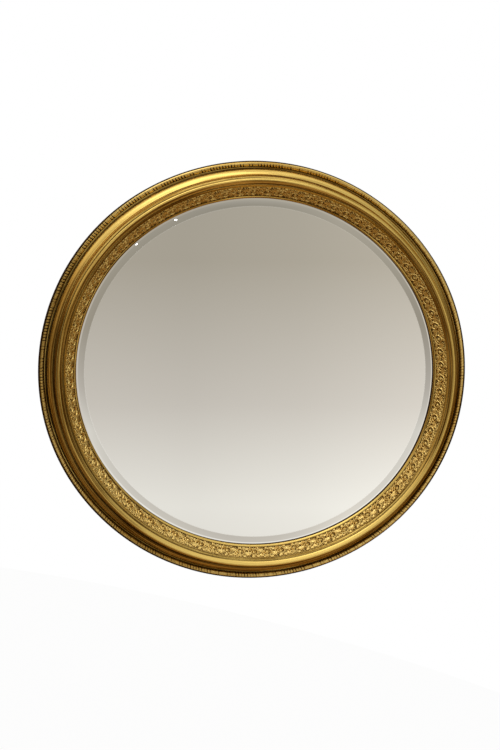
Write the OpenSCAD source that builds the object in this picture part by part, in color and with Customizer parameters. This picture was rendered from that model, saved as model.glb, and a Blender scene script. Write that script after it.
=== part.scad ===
// Oval wall mirror: a bevelled plate in a deep gilt reverse moulding.
// The outline is a four-centred oval, so every moulding is the same section run round four arcs.
// Sections are given as [inset from the outline, height above the wooden back].

/* [Oval] */
// Width of the mirror over the leaf bead
oval_w = 792; // [720:1:900]
// Height of the mirror over the leaf bead
oval_h = 762; // [700:1:860]

/* [Back ring] */
// Thickness of the back ring, which is also the depth of the rebate
back_ring_t = 14; // [13:0.5:18]
// How far the wooden edge stands in from the outline
side_inset = 1.5; // [1:0.1:3]
// Height of the ledge that carries the leaf bead
bead_seat_h = 4; // [3:0.5:5]
// Width of the rebate that takes the glass
rebate_w = 9.5; // [8:0.5:11]
// Width of the step that takes the backboard
board_step_w = 10; // [8:0.5:13]

/* [Leaf bead] */
// Width of the leaf bead
bead_w = 11; // [9:0.5:12]
// Height of the leaf bead above its ledge
bead_t = 7; // [5:0.5:8]
// Height of the leaf bead above its widest place
bead_upper = 4.9; // [4.2:0.1:4.9]
// Width of the dark quirk beside the leaf bead
quirk_w = 3; // [2:0.1:4]

/* [Moulding] */
// Height of the crest above the wooden back
frame_depth = 46; // [44:0.5:50]
// Height of the foot of the broad band above the quirk
band_foot = 3; // [2:0.1:5]
// Width of the broad band
band_w = 9.5; // [8:0.1:11]
// Rise of the broad band
band_rise = 14; // [13:0.5:16]
// Width of the cove
cove_w = 4; // [3:0.1:5]
// Rise of the cove
cove_rise = 8; // [6:0.1:9]
// Small step above the cove
cove_step = 0.5; // [0.3:0.1:1]
// Width of the ovolo
ovolo_w = 3.5; // [2.5:0.1:4.5]
// Rise of the ovolo
ovolo_rise = 4.5; // [3:0.1:5.5]
// Ledge between the ovolo and the riser of the crest
riser_ledge = 0.3; // [0.2:0.1:1]
// Radius of the bead on the crest
crest_r = 3.2; // [2.5:0.1:3.5]
// How far round the bead on the crest turns past its widest place, in degrees
crest_turn = 20; // [10:1:30]
// Width of the groove inside the crest
groove_w = 1; // [0.8:0.1:1.5]
// Depth of the groove below the end of the crest's bead
groove_sink = 0.5; // [0.3:0.1:1]
// How far the inner band starts below the crest
inner_sink = 2.4; // [2:0.1:3]
// Width of the inner band
inner_w = 6.3; // [5:0.1:7]
// Fall of the inner band
inner_fall = 4; // [2:0.1:5]
// Width of the quirk between the inner band and the frieze
frieze_quirk = 1; // [0.8:0.1:1.5]
// How far the bed of the frieze starts below the inner band
frieze_sink = 1.6; // [1:0.1:2.5]
// Width of the frieze in plan
frieze_w = 15.6; // [14:0.1:18]
// Thickness of the frieze ornament at its middle
frieze_t = 3.4; // [2.5:0.1:4]
// Thickness of the frieze ornament at its edges
frieze_edge_t = 1.2; // [0.8:0.1:1.4]
// Width of the quirk between the frieze and the sight fillet
sight_quirk = 1.2; // [1.2:0.1:2]
// Radius of the sight fillet
sight_r = 3.5; // [3:0.1:4.5]
// Upright face of the sight edge
sight_face = 3.5; // [2.5:0.1:4.5]

/* [Glass and back] */
// Thickness of the glass
glass_t = 5; // [4:0.5:6]
// Width of the bevel
bevel_w = 23; // [18:0.5:30]
// How much thinner the bevel makes the edge of the glass
bevel_drop = 2; // [1:0.1:2.5]
// Thickness of the silvering with its protective paint
silver_t = 0.25; // [0.2:0.05:0.4]
// Gap between the edge of the glass and the rebate wall
glass_gap = 1; // [0.6:0.1:2]
// Gap between the bevel and the sight edge over it
seat_gap = 0.15; // [0.1:0.05:0.3]
// Thickness of the backboard
board_t = 4; // [3:0.5:4.5]
// Gap between the edge of the backboard and its step
board_gap = 1; // [0.6:0.1:2]
// How far the backboard lies below the wooden back
board_sink = 0.3; // [0.2:0.05:0.5]
// Number of glazing blocks in each quarter
blocks_per_arc = 3; // [2:1:4]
// Width of a glazing block along the rebate
block_w = 24; // [16:1:32]
// Depth of a glazing block behind the glass
block_d = 7; // [5:0.5:8]
// Depth of a glazing block at the backboard
block_toe = 4.2; // [3:0.1:5]

/* [Dowels] */
// Radius of a dowel
dowel_r = 4; // [3:0.5:4]
// Length of a dowel
dowel_len = 40; // [30:1:50]
// Place of the outer dowels, inwards from the riser of the crest
outer_dowel_in = 6.7; // [6:0.1:8]
// Height of the outer dowels above the back ring
outer_dowel_up = 15; // [12:0.5:17]
// Place of the inner dowels, inwards from the start of the frieze's bed
inner_dowel_in = 4.4; // [3.5:0.1:5]
// Height of the inner dowels above the back ring
inner_dowel_up = 6.5; // [5.5:0.1:7]

/* [Turn buttons] */
// Length of a turn button from its screw to its tip
button_reach = 26; // [20:1:28]
// Half the width of a turn button
button_r = 6; // [5:0.5:7]
// Thickness of a turn button
button_t = 1.6; // [1:0.1:2]
// Inset of the button screws from the outline
button_inset = 36; // [34:0.5:37]

/* [Hangers] */
// Angle of the hangers above the middle of the oval
hanger_angle = 22; // [18:1:25]
// Inset of the hangers from the outline
hanger_inset = 26; // [25:0.5:28]
// Length of the hanger strap
strap_len = 42; // [38:1:46]
// Width of the hanger strap
strap_w = 14; // [12:0.5:16]
// Thickness of the hanger strap
strap_t = 1.4; // [1:0.1:1.6]
// Spacing of the two screws in a strap
strap_pitch = 16; // [14:0.5:20]
// Outer radius of the rolled knuckle that holds the ring
knuckle_r = 3; // [2.8:0.1:3.5]
// Radius of the ring's wire
wire_r = 1.5; // [1.2:0.1:1.7]
// Radius of the ring at the middle of its wire
ring_r = 10; // [10:0.5:12]

/* [Screws and pads] */
// Radius of a screw's shank
screw_r = 1.75; // [1.5:0.05:2]
// Length of a screw below its head
screw_len = 13; // [11:0.5:15]
// Radius of a screw's head
screw_head_r = 3.5; // [3:0.1:3.8]
// Height of a screw's head
screw_head_h = 2.1; // [1.5:0.1:2.4]
// Radius of a wall pad
pad_r = 9; // [7:0.5:11]
// Thickness of a wall pad
pad_t = 6; // [5.5:0.5:8]
// Inset of the wall pads from the outline
pad_inset = 22; // [20:0.5:26]

/* [Clearances] */
// Glue gap round what is bedded on a curved face
glue_gap = 0.05; // [0.03:0.01:0.1]
// Radial clearance of screws, dowels and the ring's wire
fit_gap = 0.06; // [0.04:0.01:0.1]
// Gap on each face of a turn button
button_gap = 0.15; // [0.1:0.05:0.2]
// Gap between the glazing blocks and the backboard
block_gap = 0.3; // [0.2:0.05:0.5]

/* [Hidden] */
$fn = 128;
// Steps in a rounded stretch of a section
round_steps = 8;
// Width of the rim strip of a plate, which its core overlaps
core_lap = 30;
// Sides of a plate's core along each arc
core_sides = 5;

// Sizes on the arcs are kept to a micron, so that neighbouring arcs meet in the same points
function micron(v) = round(1000 * v) / 1000;

// Four centres: right, top, left and bottom arcs, each a quarter turn
half_w = micron(oval_w / 2);
half_h = micron(oval_h / 2);
spread = micron((half_w - half_h) / (2 - sqrt(2)));
CENTRES = [[spread, 0], [0, -spread], [-spread, 0], [0, spread]];
RADII = [half_w - spread, half_h + spread, half_w - spread, half_h + spread];

// Insets and heights of the section, from the outline inwards
band_d = bead_w + quirk_w;
band_h = bead_seat_h + band_foot;
band_turn = asin((back_ring_t - band_h) / band_rise);
cove_d = band_d + band_w;
cove_top = band_h + band_rise + cove_rise;
ovolo_d = cove_d + cove_w;
ovolo_foot = cove_top + cove_step;
ovolo_top = ovolo_foot + ovolo_rise;
riser_d = ovolo_d + ovolo_w + riser_ledge;
crest_d = riser_d + crest_r * cos(crest_turn);
crest_end_d = crest_d + crest_r * cos(crest_turn);
crest_mid = frame_depth - crest_r;
groove_h = crest_mid - crest_r * sin(crest_turn) - groove_sink;
inner_d = crest_end_d + groove_w;
inner_end_d = inner_d + inner_w;
inner_low = frame_depth - inner_sink - inner_fall;
sight_foot = back_ring_t + sight_face;
bed_start = [inner_end_d + frieze_quirk, inner_low - frieze_sink];
bed_end = [bed_start[0] + frieze_w, sight_foot];
sight_fillet_d = bed_end[0] + sight_quirk;
sight_d = sight_fillet_d + sight_r;
rebate_d = sight_d - rebate_w;
board_step_d = rebate_d - board_step_w;
board_step_h = board_sink + board_t;

// Heights of the glass, found from where the sight edge meets the bevel
glass_d = rebate_d + glass_gap;
bevel_in_sight = bevel_w - (sight_d - glass_d);
glass_front = back_ring_t - seat_gap + bevel_drop * bevel_in_sight / bevel_w;
glass_back = glass_front - glass_t;
silver_back = glass_back - silver_t;
block_foot = board_step_h + block_gap;

// Places of the dowels in the section of the front ring
DOWELS = [
    [riser_d + outer_dowel_in, back_ring_t + outer_dowel_up],
    [bed_start[0] + inner_dowel_in, back_ring_t + inner_dowel_up]
];

// Arc number and angle of each turn button
BUTTONS = [[1, 65], [1, 115], [2, 200], [3, 245], [3, 295], [0, 340]];
PADS = [[0, 45], [1, 135], [2, 225], [3, 315]];
button_screw_foot = -2 * button_gap - button_t;

// Middle of the model's depth, from the crest to the wall pads
mid_h = (frame_depth - pad_t) / 2;

// Points of an elliptical stretch, centred on c, with half sizes s, from angle a to angle b
function sweep_pts(c, s, a, b, first = 0) = [
    for (i = [first : round_steps])
        let (t = a + (b - a) * i / round_steps)
            [c[0] + s[0] * cos(t), c[1] + s[1] * sin(t)]
];

// Place of a point on arc k, at an angle and an inset from the outline
function on_arc(k, angle, inset) = [
    CENTRES[k][0] + (RADII[k] - inset) * cos(angle),
    CENTRES[k][1] + (RADII[k] - inset) * sin(angle)
];

// Stands the lying model upright, front towards -Y, with the origin in the middle of its box
module stand() {
    rotate([90, 0, 0]) translate([0, 0, -mid_h]) children();
}

// Runs a section round arc k, from a start angle through a sweep
module run(k, start, sweep, section) {
    translate([CENTRES[k][0], CENTRES[k][1], 0])
        rotate([0, 0, start])
            rotate_extrude(angle = sweep)
                polygon([for (p = section) [micron(RADII[k] - p[0]), micron(p[1])]]);
}

// A plate of the oval. Its section starts at the rim, and a many-sided core fills its middle.
module oval_plate(rim) {
    low = rim[0][1];
    top = rim[len(rim) - 1];
    for (k = [0 : 3])
        run(k, 90 * k - 45, 90, concat(
            [[top[0] + core_lap, low]],
            rim,
            [[top[0] + core_lap, top[1]]]
        ));
    translate([0, 0, low])
        linear_extrude(height = top[1] - low)
            polygon([
                for (k = [0 : 3], i = [0 : core_sides - 1])
                    on_arc(k, 90 * (k + (i + 0.5) / core_sides) - 45, top[0] + core_lap / 4)
            ]);
}

// The broad band is one elliptical round, cut by the plane between the two rings
band_mid = [cove_d, band_h];
band_size = [band_w, band_rise];

// Section of the front ring: band, cove, ovolo, crest, inner band, bed of the frieze, sight fillet
front_section = concat(
    sweep_pts(band_mid, band_size, 180 - band_turn, 90),
    sweep_pts([cove_d, cove_top], [cove_w, cove_rise], -90, 0, 1),
    sweep_pts([ovolo_d + ovolo_w, ovolo_foot], [ovolo_w, ovolo_rise], 180, 90),
    [[riser_d, ovolo_top]],
    sweep_pts([crest_d, crest_mid], [crest_r, crest_r], 180 + crest_turn, -crest_turn),
    [[crest_end_d, groove_h], [inner_d, groove_h]],
    sweep_pts([inner_d, inner_low], [inner_w, inner_fall], 90, 0),
    [[inner_end_d, bed_start[1]], bed_start, bed_end, [sight_fillet_d, bed_end[1]]],
    sweep_pts([sight_fillet_d, sight_foot], [sight_r, sight_r], 90, 0),
    [[sight_d, back_ring_t]]
);

// Section of the back ring: ledge, quirk, foot of the band, rebate and step for the backboard
back_section = concat(
    [[side_inset, 0], [side_inset, bead_seat_h], [band_d, bead_seat_h]],
    sweep_pts(band_mid, band_size, 180, 180 - band_turn),
    [
        [rebate_d, back_ring_t], [rebate_d, board_step_h],
        [board_step_d, board_step_h], [board_step_d, 0]
    ]
);

// Section of the leaf bead: most of an ellipse, flat where it sits on its ledge
bead_low = -asin((bead_t - bead_upper) / bead_upper);
bead_section = sweep_pts(
    [bead_w / 2, bead_seat_h + bead_t - bead_upper],
    [bead_w / 2, bead_upper], 180 - bead_low, bead_low
);

// Section of the frieze: a low cushion on the sloping bed
bed_len = norm(bed_end - bed_start);
bed_dir = (bed_end - bed_start) / bed_len;
bed_out = [-bed_dir[1], bed_dir[0]];
function on_bed(along, out) = bed_start + bed_dir * along + bed_out * out;
frieze_section = concat(
    [on_bed(glue_gap, glue_gap)],
    [
        for (i = [0 : round_steps])
            let (t = i / round_steps)
                on_bed(
                    glue_gap + (bed_len - 2 * glue_gap) * t,
                    frieze_edge_t + (frieze_t - frieze_edge_t) * sqrt(1 - pow(2 * t - 1, 2))
                )
    ],
    [on_bed(bed_len - glue_gap, glue_gap)]
);

// Two dowels at each joint of the front ring, longer by extra for the holes
module dowels(radius, extra) {
    for (k = [0 : 3], place = DOWELS)
        translate(concat(on_arc(k, 90 * k + 45, place[0]), [place[1]]))
            rotate([0, 0, 90 * k + 45])
                rotate([90, 0, 0])
                    cylinder(r = radius, h = dowel_len + extra, center = true);
}

// A screw pointing into the wood, with its head on a face at head_h
module screw(head_h) {
    translate([0, 0, head_h - screw_head_h])
        cylinder(r = screw_head_r, h = screw_head_h);
    translate([0, 0, head_h])
        cylinder(r = screw_r, h = screw_len);
}

module at_buttons() {
    for (b = BUTTONS)
        translate(concat(on_arc(b[0], b[1], button_inset), [0])) children();
}

// side is 1 for the right hanger and -1 for the left one
module at_hanger(side) {
    place = on_arc(0, hanger_angle, hanger_inset);
    translate([side * place[0], place[1], 0]) children();
}

module at_strap_screws(side) {
    at_hanger(side)
        for (s = [-1, 1])
            translate([0, s * strap_pitch / 2, 0]) children();
}

module screw_holes() {
    at_buttons()
        translate([0, 0, -1])
            cylinder(r = screw_r + fit_gap, h = screw_len + 1);
    for (side = [-1, 1])
        at_strap_screws(side)
            translate([0, 0, -1])
                cylinder(r = screw_r + fit_gap, h = screw_len + 1);
}

module frame_front(k) {
    color("goldenrod")
        stand()
            difference() {
                run(k, 90 * k - 45, 90, front_section);
                dowels(dowel_r + fit_gap, 1);
            }
}

// Back segments are staggered: each spans the end of one arc and the start of the next.
// Both halves start from a whole quarter turn, so their flat faces lie in exactly one plane.
module frame_back(k) {
    color("saddlebrown")
        stand()
            difference() {
                union() {
                    run(k, 90 * k, 45, back_section);
                    run((k + 1) % 4, 90 * k + 90, -45, back_section);
                }
                screw_holes();
            }
}

module leaf_bead(k) {
    color("gold") stand() run(k, 90 * k - 45, 90, bead_section);
}

module frieze(k) {
    color("darkgoldenrod") stand() run(k, 90 * k - 45, 90, frieze_section);
}

module joint_dowels() {
    color("burlywood") stand() dowels(dowel_r, 0);
}

module mirror_glass() {
    color("lightsteelblue")
        stand()
            oval_plate([
                [glass_d, glass_back],
                [glass_d, glass_front - bevel_drop],
                [glass_d + bevel_w, glass_front]
            ]);
}

module silvering() {
    color("silver")
        stand()
            oval_plate([[glass_d, silver_back], [glass_d, glass_back]]);
}

module glazing_blocks() {
    color("tan")
        stand()
            for (k = [0 : 3], i = [0 : blocks_per_arc - 1]) {
                middle = 90 * k - 45 + 90 * (i + 0.5) / blocks_per_arc;
                width = block_w / (RADII[k] - rebate_d) * 180 / PI;
                run(k, middle - width / 2, width, [
                    [rebate_d + glue_gap, block_foot],
                    [rebate_d + block_toe, block_foot],
                    [rebate_d + block_d, silver_back],
                    [rebate_d + glue_gap, silver_back]
                ]);
            }
}

module backboard() {
    color("peru")
        stand()
            oval_plate([
                [board_step_d + board_gap, board_sink],
                [board_step_d + board_gap, board_step_h]
            ]);
}

// A flat button with round ends, its screw hole near the outer end and its tip over the backboard
module turn_button(i) {
    arc = BUTTONS[i][0];
    angle = BUTTONS[i][1];
    color("darkgray")
        stand()
            translate(concat(on_arc(arc, angle, button_inset), [-button_gap - button_t]))
                rotate([0, 0, angle + 180])
                    difference() {
                        union() {
                            cylinder(r = button_r, h = button_t);
                            translate([0, -button_r, 0])
                                cube([button_reach - button_r, 2 * button_r, button_t]);
                            translate([button_reach - button_r, 0, 0])
                                cylinder(r = button_r, h = button_t);
                        }
                        translate([0, 0, -1])
                            cylinder(r = screw_r + fit_gap, h = button_t + 2);
                    }
}

module button_screws() {
    color("gainsboro") stand() at_buttons() screw(button_screw_foot);
}

// A strap whose upper end is rolled round the ring's bar
module hanger_strap(side) {
    color("khaki")
        stand()
            difference() {
                union() {
                    at_hanger(side)
                        translate([-strap_w / 2, -strap_len / 2, -strap_t])
                            cube([strap_w, strap_len, strap_t]);
                    at_hanger(side)
                        translate([-strap_w / 2, strap_len / 2, -knuckle_r])
                            rotate([0, 90, 0])
                                cylinder(r = knuckle_r - fit_gap, h = strap_w);
                }
                at_hanger(side)
                    translate([-strap_w / 2 - 1, strap_len / 2, -knuckle_r])
                        rotate([0, 90, 0])
                            cylinder(r = wire_r + fit_gap, h = strap_w + 2);
                at_strap_screws(side)
                    translate([0, 0, -strap_t - 1])
                        cylinder(r = screw_r + fit_gap, h = strap_t + 2);
            }
}

// The ring: a straight bar through the knuckle and half a turn of the same wire
module hanger_ring(side) {
    color("darkkhaki")
        stand()
            at_hanger(side)
                translate([0, strap_len / 2, -knuckle_r]) {
                    translate([-ring_r, 0, 0])
                        rotate([0, 90, 0])
                            cylinder(r = wire_r, h = 2 * ring_r);
                    rotate_extrude(angle = 180)
                        translate([ring_r, 0]) circle(r = wire_r, $fn = 32);
                    for (s = [-1, 1])
                        translate([s * ring_r, 0, 0]) sphere(r = wire_r);
                }
}

module hanger_screws() {
    color("gainsboro")
        stand()
            for (side = [-1, 1])
                at_strap_screws(side) screw(-strap_t);
}

module wall_pads() {
    color("dimgray")
        stand()
            for (p = PADS)
                translate(concat(on_arc(p[0], p[1], pad_inset), [-pad_t]))
                    cylinder(r = pad_r, h = pad_t);
}

frame_front(0);  // frame_front_right
frame_front(1);  // frame_front_top
frame_front(2);  // frame_front_left
frame_front(3);  // frame_front_bottom
frame_back(0);  // frame_back_upper_right
frame_back(1);  // frame_back_upper_left
frame_back(2);  // frame_back_lower_left
frame_back(3);  // frame_back_lower_right
leaf_bead(0);  // leaf_bead_right
leaf_bead(1);  // leaf_bead_top
leaf_bead(2);  // leaf_bead_left
leaf_bead(3);  // leaf_bead_bottom
frieze(0);  // frieze_right
frieze(1);  // frieze_top
frieze(2);  // frieze_left
frieze(3);  // frieze_bottom
joint_dowels();
mirror_glass();
silvering();
glazing_blocks();
backboard();
turn_button(0);  // turn_button_upper_right
turn_button(1);  // turn_button_upper_left
turn_button(2);  // turn_button_left
turn_button(3);  // turn_button_lower_left
turn_button(4);  // turn_button_lower_right
turn_button(5);  // turn_button_right
button_screws();
hanger_strap(-1);  // hanger_strap_left
hanger_strap(1);  // hanger_strap_right
hanger_ring(-1);  // hanger_ring_left
hanger_ring(1);  // hanger_ring_right
hanger_screws();
wall_pads();
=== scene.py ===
# %% [markdown]
# # An oval wall mirror in a carved and gilded frame
# The solids were made first and packed with their joints. This script loads them as a
# fixed frame and gives each piece its fine shape and its finish.
# The frame lies flat against the wall, so +Z is up and the glass looks towards -Y.

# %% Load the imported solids
import math

import bmesh
import bpy
import numpy as np
from mathutils import Matrix, Vector


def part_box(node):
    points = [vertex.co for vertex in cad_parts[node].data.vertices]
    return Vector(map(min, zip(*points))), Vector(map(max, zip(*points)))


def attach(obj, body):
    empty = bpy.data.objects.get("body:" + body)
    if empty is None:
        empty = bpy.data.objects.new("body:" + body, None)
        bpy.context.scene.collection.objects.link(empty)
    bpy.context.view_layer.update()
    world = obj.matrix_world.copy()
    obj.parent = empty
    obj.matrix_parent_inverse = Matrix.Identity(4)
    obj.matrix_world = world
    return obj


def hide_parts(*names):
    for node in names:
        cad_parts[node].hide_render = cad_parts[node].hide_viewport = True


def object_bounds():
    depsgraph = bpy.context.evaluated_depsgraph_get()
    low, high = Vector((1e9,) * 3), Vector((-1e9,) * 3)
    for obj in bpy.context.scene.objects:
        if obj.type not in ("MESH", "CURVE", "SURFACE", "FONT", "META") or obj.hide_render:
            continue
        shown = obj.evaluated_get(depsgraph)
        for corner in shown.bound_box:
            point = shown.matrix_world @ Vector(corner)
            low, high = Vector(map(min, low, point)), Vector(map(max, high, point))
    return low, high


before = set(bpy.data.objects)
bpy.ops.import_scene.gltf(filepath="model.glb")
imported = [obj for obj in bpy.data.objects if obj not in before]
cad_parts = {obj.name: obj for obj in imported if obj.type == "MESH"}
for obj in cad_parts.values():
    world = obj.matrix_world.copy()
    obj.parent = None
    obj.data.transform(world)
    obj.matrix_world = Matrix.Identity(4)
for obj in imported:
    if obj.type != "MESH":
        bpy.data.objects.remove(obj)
cad_low, cad_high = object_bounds()
print("solids span", [round(v, 4) for v in cad_high - cad_low], "nodes", len(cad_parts))

# %% [markdown]
# ## The camera
# The view is from a little to the left of the mirror's middle and a little above it, and
# the picture is turned by some degrees. A turned camera shows an oval with its long axis
# tilted, which no upright camera can do, so the roll is part of the view.
# A lens of 66 mm from 2.5 m away gives the mild perspective of the picture.

# %% Camera
VIEW_AZIMUTH = -12.9
VIEW_ELEVATION = 4.5
VIEW_ROLL = 13.0
VIEW_DISTANCE = 2.5
AIM_DEPTH = 0.006       # the camera aims at a point this far before the back, in metres
LENS = 65.9
FRAME_SIDE = 750        # the longer side of the picture, in pixels
OFFSET = (7.5, 2.2)     # where the mirror's middle falls, right of and above the centre


def place_camera():
    azimuth, elevation = math.radians(VIEW_AZIMUTH), math.radians(VIEW_ELEVATION)
    away = Vector((math.sin(azimuth) * math.cos(elevation),
                   -math.cos(azimuth) * math.cos(elevation), math.sin(elevation)))
    target = Vector((0, cad_high.y - AIM_DEPTH, 0))
    look = -away
    right = look.cross(Vector((0, 0, 1))).normalized()
    up = right.cross(look)
    roll = math.radians(VIEW_ROLL)
    tilted_right = math.cos(roll) * right + math.sin(roll) * up
    tilted_up = math.cos(roll) * up - math.sin(roll) * right
    data = bpy.data.cameras.new("camera")
    data.lens = LENS
    data.shift_x = -OFFSET[0] / FRAME_SIDE
    data.shift_y = -OFFSET[1] / FRAME_SIDE
    camera = bpy.data.objects.new("camera", data)
    turn = Matrix((tilted_right, tilted_up, away)).transposed().to_4x4()
    camera.matrix_world = Matrix.Translation(target + away * VIEW_DISTANCE) @ turn
    bpy.context.scene.collection.objects.link(camera)
    bpy.context.scene.camera = camera
    return camera


camera = place_camera()
print("camera at", [round(v, 3) for v in camera.location])

# %% [markdown]
# ## The oval
# A framemaker draws this oval with compasses, from four centres: two short arcs at the
# sides and two long ones above and below. They meet smoothly on the diagonals.
# Every moulding is then one section run round the four arcs, so a section point is given
# as its inset from the outline and its height above the wooden back, in millimetres.

# %% Four centres and the section's numbers
MM = 0.001
HALF_W, HALF_H = 396.0, 381.0
SPREAD = (HALF_W - HALF_H) / (2 - math.sqrt(2))
CENTRE_X = np.array([SPREAD, 0, -SPREAD, 0])
CENTRE_Z = np.array([0, -SPREAD, 0, SPREAD])
RADIUS = np.array([HALF_W - SPREAD, HALF_H + SPREAD, HALF_W - SPREAD, HALF_H + SPREAD])
MID_H = 20.0            # height of the origin above the wooden back
REF_INSET = 34.0        # lengths along the frame are measured at this inset
QUARTER = (RADIUS - REF_INSET) * math.pi / 2
QUARTER_START = np.concatenate([[0], np.cumsum(QUARTER)[:-1]])
SIDES = ["right", "top", "left", "bottom"]
CORNERS = ["upper_right", "upper_left", "lower_left", "lower_right"]


def place(arc, angle, inset, height):
    """A section point on an arc, as a point in metres."""
    reach = RADIUS[arc] - inset
    return Vector(((CENTRE_X[arc] + reach * math.cos(angle)) * MM,
                   (MID_H - height) * MM,
                   (CENTRE_Z[arc] + reach * math.sin(angle)) * MM))


def bow(middle, size, start, end, steps=12):
    """Points of an elliptical stretch of a section, from one angle to another."""
    angles = np.radians(np.linspace(start, end, steps + 1))
    return [(middle[0] + size[0] * math.cos(a), middle[1] + size[1] * math.sin(a)) for a in angles]


print("quarter lengths", [round(float(q)) for q in QUARTER], "mm")

# %% [markdown]
# ## Running a section round the oval
# The spin operator turns a drawn section about an axis, as a lathe would. A spin of many
# steps gets slow, so one short length is spun, copied round its arc, and the seams merged.
# Each vertex keeps some numbers for the finishes: how far along the frame it is, how far
# across the section, and its tone, which carries dark wax and painted light and shade.

# %% Draw and spin a section
SEAM = 4e-6                 # vertices closer than this are merged, in metres
SHORT_STEPS = (12, 16, 8)   # steps of a short length, the first that fits is used
OUTWARD = (0, -1, 0)        # the way the glass looks, and the axis of every arc


def spin(bm, geom, angle, steps, axis, centre, merge=False):
    """Turns geometry about an axis in even steps, with faces from each copy to the next."""
    bmesh.ops.spin(bm, geom=geom, angle=angle, steps=steps, axis=axis, cent=centre, dvec=(0, 0, 0),
                   use_merge=merge, use_normal_flip=False, use_duplicate=False)


def draw_section(bm, section, arc, start, closed):
    """Draws the section across the run at one angle and gives back what is to be spun."""
    layers = [bm.verts.layers.float.new(label) for label in ("across", "tone", "arc")]
    ring, length = [], 0.0
    for i, (inset, height, shade) in enumerate(section):
        if i:
            length += math.hypot(inset - section[i - 1][0], height - section[i - 1][1])
        vert = bm.verts.new(place(arc, start, inset, height))
        for layer, value in zip(layers, (length * MM, shade, arc)):
            vert[layer] = value
        ring.append(vert)
    pairs = list(zip(ring, ring[1:])) + ([(ring[-1], ring[0])] if closed else [])
    return ring + [bm.edges.new(pair) for pair in pairs]


def run_section(section, stretches, closed=True):
    """section: (inset, height, tone). stretches: (arc, start degrees, turn degrees, steps)."""
    whole = bmesh.new()
    for arc, start, turn, steps in stretches:
        short = next(n for n in SHORT_STEPS if steps % n == 0)
        axis_at = Vector((CENTRE_X[arc] * MM, 0, CENTRE_Z[arc] * MM))
        step = math.radians(turn) / steps
        bm = bmesh.new()
        geom = draw_section(bm, section, arc, math.radians(start), closed)
        spin(bm, geom, step * short, short, OUTWARD, axis_at)
        length = bpy.data.meshes.new("length")
        bm.to_mesh(length)
        bm.free()
        onward = (Matrix.Translation(axis_at) @ Matrix.Rotation(step * short, 4, OUTWARD)
                  @ Matrix.Translation(-axis_at))
        for _ in range(steps // short):
            whole.from_mesh(length)
            length.transform(onward)
        bpy.data.meshes.remove(length)
    bmesh.ops.remove_doubles(whole, verts=whole.verts, dist=SEAM)
    return whole


# %% Close a run and make it a piece
def cap_ends(bm):
    bmesh.ops.holes_fill(bm, edges=[e for e in bm.edges if e.is_boundary], sides=0)


def shade_edges(mesh, limit):
    """Smooth faces that keep every edge sharper than the limit, in degrees."""
    mesh.polygons.foreach_set("use_smooth", [True] * len(mesh.polygons))
    mesh.set_sharp_from_angle(angle=math.radians(limit))


def finish_mesh(name, bm, body="mirror", sharp=34):
    """Turns a bmesh into an object of the mirror, with outward faces."""
    bmesh.ops.recalc_face_normals(bm, faces=bm.faces)
    mesh = bpy.data.meshes.new(name)
    bm.to_mesh(mesh)
    bm.free()
    shade_edges(mesh, sharp)
    piece = bpy.data.objects.new(name, mesh)
    bpy.context.scene.collection.objects.link(piece)
    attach(piece, body)
    return piece


# %% Read a run back as section numbers
def read_layer(mesh, label):
    values = np.empty(len(mesh.vertices))
    mesh.attributes[label].data.foreach_get("value", values)
    return values


def lie_of(mesh):
    """Arc, angle, inset and height of every vertex of a run."""
    co = np.empty(len(mesh.vertices) * 3)
    mesh.vertices.foreach_get("co", co)
    co = co.reshape(-1, 3) / MM
    arc = np.rint(read_layer(mesh, "arc")).astype(int)
    dx, dz = co[:, 0] - CENTRE_X[arc], co[:, 2] - CENTRE_Z[arc]
    middle = arc * math.pi / 2
    angle = middle + (np.arctan2(dz, dx) - middle + math.pi) % (2 * math.pi) - math.pi
    return arc, angle, RADIUS[arc] - np.hypot(dx, dz), MID_H - co[:, 1]


def note_along(mesh):
    """Stores how far along the frame each vertex is, and gives it back from its quarter's start."""
    arc, angle, _, _ = lie_of(mesh)
    along = (angle - arc * math.pi / 2 + math.pi / 4) * (RADIUS[arc] - REF_INSET)
    layer = mesh.attributes.new("along", "FLOAT", "POINT")
    layer.data.foreach_set("value", (along + QUARTER_START[arc]) * MM)
    return along


def set_verts(mesh, arc, angle, inset, height):
    """Moves every vertex to its section numbers."""
    reach = RADIUS[arc] - inset
    co = np.column_stack([CENTRE_X[arc] + reach * np.cos(angle), MID_H - height,
                          CENTRE_Z[arc] + reach * np.sin(angle)]) * MM
    mesh.vertices.foreach_set("co", co.ravel())
    mesh.update()


def set_tone(mesh, tone):
    mesh.attributes["tone"].data.foreach_set("value", tone)


# %% [markdown]
# ## The front ring
# Four curved lengths of wood, doweled on the diagonals, carry the deep moulding: a broad
# band, a cove, an ovolo, the crest with its bead, a smooth band that turns inwards, the
# slope for the frieze and the fillet at the glass.
# The tone of each point makes the quirks and grooves dark, as dark wax and painted shade in the recesses.

# %% The front ring's section
BAND_MID, BAND_SIZE = (23.5, 7.0), (9.5, 14.0)
COVE_MID, COVE_SIZE = (23.5, 29.0), (4.0, 8.0)
OVOLO_MID, OVOLO_SIZE = (31.0, 29.5), (3.5, 4.5)
CREST_MID, CREST_SIZE = (34.307, 42.8), (3.2, 3.2)
BED_START, BED_END = (45.614, 38.0), (61.214, 17.5)     # the slope that the frieze lies on
FILLET_MID, FILLET_SIZE = (62.414, 17.5), (3.5, 3.5)
RING_JOINT = 14.0       # height of the glued joint between the two rings
SIGHT = 65.9            # inset of the sight edge


def toned(points, first, last=None):
    """Gives section points a tone that runs from the first value to the last."""
    last = first if last is None else last
    steps = max(len(points) - 1, 1)
    return [(d, h, first + (last - first) * i / steps) for i, (d, h) in enumerate(points)]


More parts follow.
